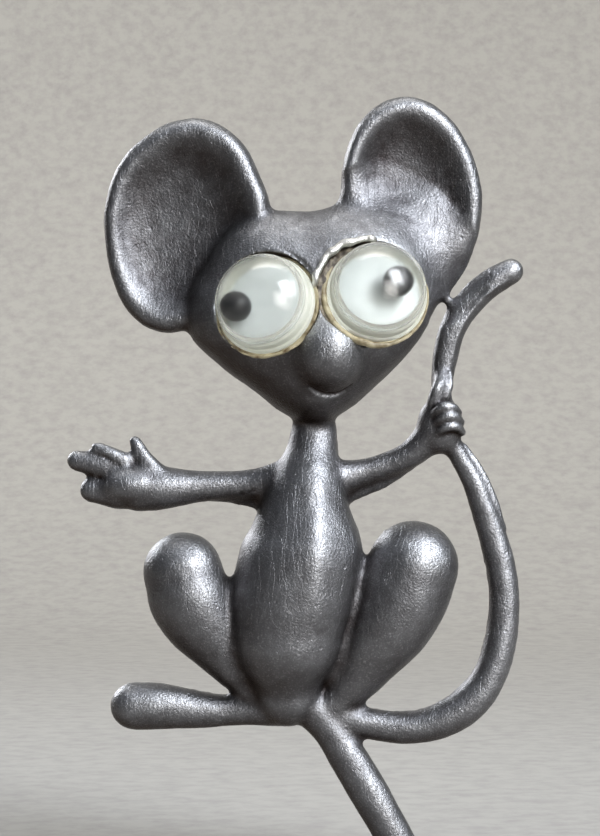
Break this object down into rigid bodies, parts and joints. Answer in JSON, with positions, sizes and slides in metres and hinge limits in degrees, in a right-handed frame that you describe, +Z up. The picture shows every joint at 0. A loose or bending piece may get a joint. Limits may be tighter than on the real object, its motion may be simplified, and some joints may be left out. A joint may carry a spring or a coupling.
{
  "type": "mouse brooch",
  "caption": "Cast pewter mouse brooch with a flat back, two wobbly eyes, a hinged pin and a safety catch that turns to lock it.",
  "frame": {"origin": "on the casting's flat back behind the shoulders, midway between the pin joint and its catch", "axes": "+Z up as worn, +Y out of the back towards the wearer, so the face looks along -Y"},
  "size_m": [0.0343, 0.0136, 0.0575],
  "materials": {
    "pewter": "dark antiqued cast pewter, worn bright on the high places",
    "clear_plastic": "clear moulded plastic, yellowed with age",
    "white_card": "pearly white card",
    "black_plastic": "glossy black moulded ball",
    "aged_adhesive": "amber aged adhesive",
    "solder": "dull tin solder",
    "nickel_plate": "nickel plated brass, slightly tarnished",
    "spring_steel": "nickel plated spring steel wire"
  },
  "bodies": {
    "casting": {"mouse_casting": "pewter", "joint_solder": "solder", "catch_solder": "solder", "pin_joint": "nickel_plate", "joint_rivet": "nickel_plate", "catch_case": "nickel_plate", "left_eye_glue": "aged_adhesive", "left_eye_disc": "white_card", "left_eye_cap": "clear_plastic", "right_eye_glue": "aged_adhesive", "right_eye_disc": "white_card", "right_eye_cap": "clear_plastic"},
    "pin": {"pin_stem": "spring_steel"},
    "barrel": {"catch_barrel": "nickel_plate"},
    "left_pupil": {"left_pupil": "black_plastic"},
    "right_pupil": {"right_pupil": "black_plastic"}
  },
  "joints": [
    {"name": "pin_swing", "type": "hinge", "parent": "casting", "child": "pin", "pos_m": [-0.0004, 0.0025, 0.016], "axis": [1, 0, 0], "range_deg": [0, 100]},
    {"name": "catch_turn", "type": "hinge", "parent": "casting", "child": "barrel", "pos_m": [-0.0004, 0.0025, -0.015], "axis": [0, 0, 1], "range_deg": [0, 150]},
    {"name": "left_pupil_roll", "type": "hinge", "parent": "casting", "child": "left_pupil", "pos_m": [-0.0028, -0.0055, 0.0114], "axis": [-0.297, -0.9142, 0.2756], "continuous": true},
    {"name": "right_pupil_roll", "type": "hinge", "parent": "casting", "child": "right_pupil", "pos_m": [0.00525, -0.0054, 0.0122], "axis": [0.1316, -0.9363, 0.3256], "continuous": true}
  ]
}
